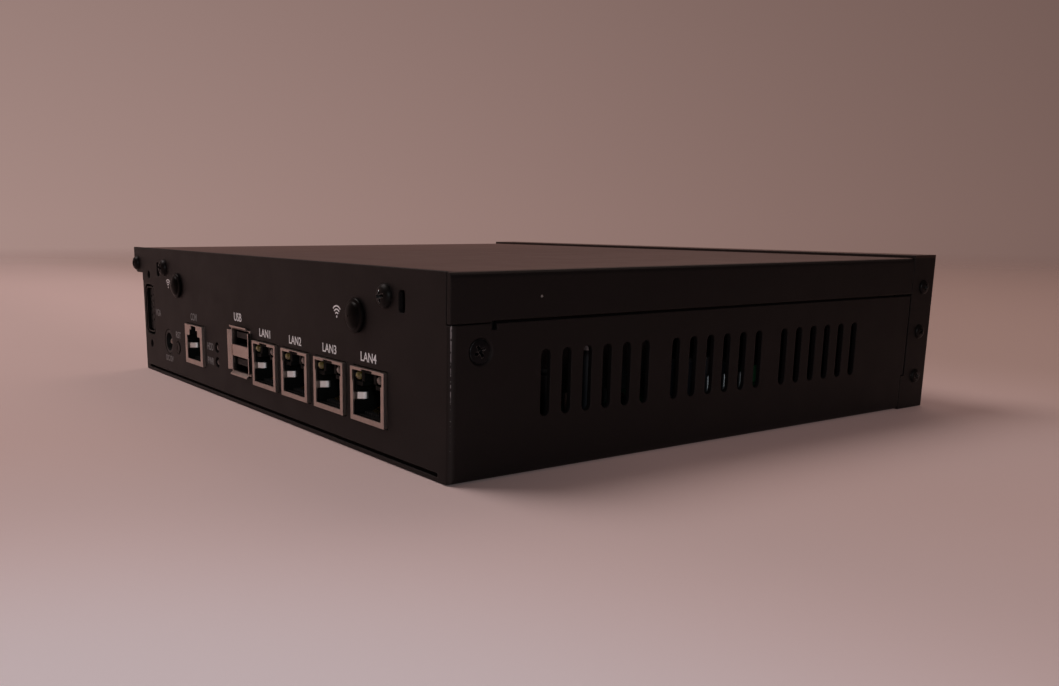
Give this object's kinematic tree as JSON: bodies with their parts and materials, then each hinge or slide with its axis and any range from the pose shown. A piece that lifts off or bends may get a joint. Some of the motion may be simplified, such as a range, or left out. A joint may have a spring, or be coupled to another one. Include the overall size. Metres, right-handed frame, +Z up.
{
  "type": "firewall appliance",
  "caption": "Compact black steel network firewall box with a row of network jacks, serial, stacked USB, video and power connectors, side vents and a separate front bezel.",
  "frame": {"origin": "centre of the case underside, on the plane that rests on the table", "axes": "+Z up, the port wall faces -Y, the front bezel faces +Y, the side vents face +X and -X"},
  "size_m": [0.2099, 0.1771, 0.0452],
  "materials": {
    "coated_steel": "fine-textured satin black powder coat",
    "nickel": "bright nickel plate",
    "dark_shell": "dark plated steel",
    "black_plastic": "moulded, matt",
    "gloss_plastic": "moulded, glossy",
    "amber_lens": "tinted translucent",
    "clear_lens": "milky translucent",
    "board_green": "solder mask",
    "bare_aluminium": "bare, satin",
    "zinc": "zinc plate",
    "black_oxide": "black oxide",
    "brass": "turned"
  },
  "bodies": {
    "case": {"antenna_plug_1": "gloss_plastic", "antenna_plug_2": "gloss_plastic", "bezel_screw_1": "black_oxide", "bezel_screw_2": "black_oxide", "bezel_screw_3": "black_oxide", "bezel_screw_4": "black_oxide", "bezel_screw_5": "black_oxide", "bezel_screw_6": "black_oxide", "board_screw_1": "zinc", "board_screw_2": "zinc", "board_screw_3": "zinc", "board_screw_4": "zinc", "capacitor_1": "bare_aluminium", "capacitor_2": "bare_aluminium", "capacitor_3": "bare_aluminium", "chassis": "coated_steel", "coin_cell": "zinc", "com_insert": "black_plastic", "com_shield": "nickel", "dc_jack_body": "black_plastic", "dc_jack_pin": "nickel", "front_bezel": "coated_steel", "heatsink": "bare_aluminium", "lan1_insert": "black_plastic", "lan1_light_left": "amber_lens", "lan1_light_right": "clear_lens", "lan1_shield": "nickel", "lan2_insert": "black_plastic", "lan2_light_left": "amber_lens", "lan2_light_right": "clear_lens", "lan2_shield": "nickel", "lan3_insert": "black_plastic", "lan3_light_left": "amber_lens", "lan3_light_right": "clear_lens", "lan3_shield": "nickel", "lan4_insert": "black_plastic", "lan4_light_left": "amber_lens", "lan4_light_right": "clear_lens", "lan4_shield": "nickel", "lug_screw": "black_oxide", "mainboard": "board_green", "memory_card": "board_green", "power_light": "clear_lens", "side_screw_1": "zinc", "side_screw_2": "zinc", "standoff_1": "brass", "standoff_2": "brass", "standoff_3": "brass", "standoff_4": "brass", "storage_card": "board_green", "storage_light": "clear_lens", "switch_body": "black_plastic", "top_cover": "coated_steel", "usb_insulator": "black_plastic", "usb_shell": "nickel", "vga_insert": "black_plastic", "vga_shell": "dark_shell", "wall_screw_1": "black_oxide", "wall_screw_2": "black_oxide"},
    "button": {"button_cap": "gloss_plastic"}
  },
  "joints": [
    {"name": "button_press", "type": "slide", "parent": "case", "child": "button", "axis": [0, 1, 0], "range_m": [0, 0.0005]}
  ]
}
